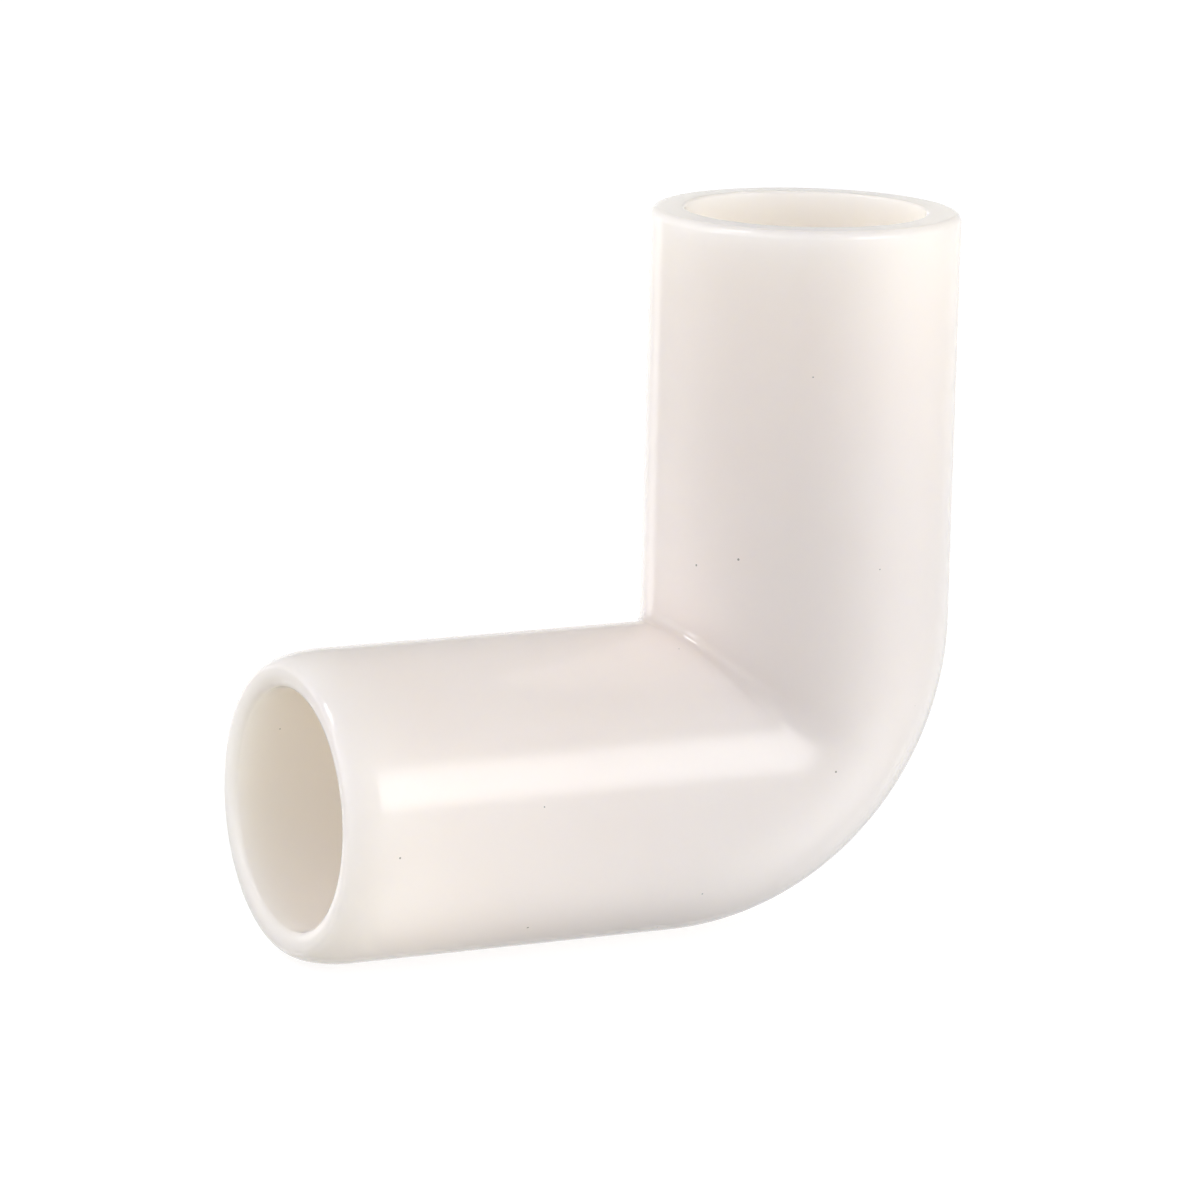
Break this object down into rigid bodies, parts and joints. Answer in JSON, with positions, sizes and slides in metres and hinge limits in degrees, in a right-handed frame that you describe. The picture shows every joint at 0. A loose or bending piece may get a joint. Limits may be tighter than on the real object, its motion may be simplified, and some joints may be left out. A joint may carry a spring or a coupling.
{
  "type": "pipe elbow",
  "caption": "One-piece right-angle pipe elbow in ivory plastic, with plain spigot ends, a tight mitred inner corner and a swept back.",
  "frame": {"origin": "the centre of the underside of the bounding box, 12.5 mm straight below the side arm's axis; the axes of the two arms cross at (16.5, 0, 12.5) mm", "axes": "+Z along the upright arm towards its rim, -X along the side arm towards its mouth, Y = 0 is the plane of symmetry"},
  "size_m": [0.058, 0.025, 0.058],
  "materials": {
    "pvc": "semi-gloss ivory rigid PVC, as moulded"
  },
  "bodies": {
    "root": {"elbow_body": "pvc"}
  },
  "joints": []
}
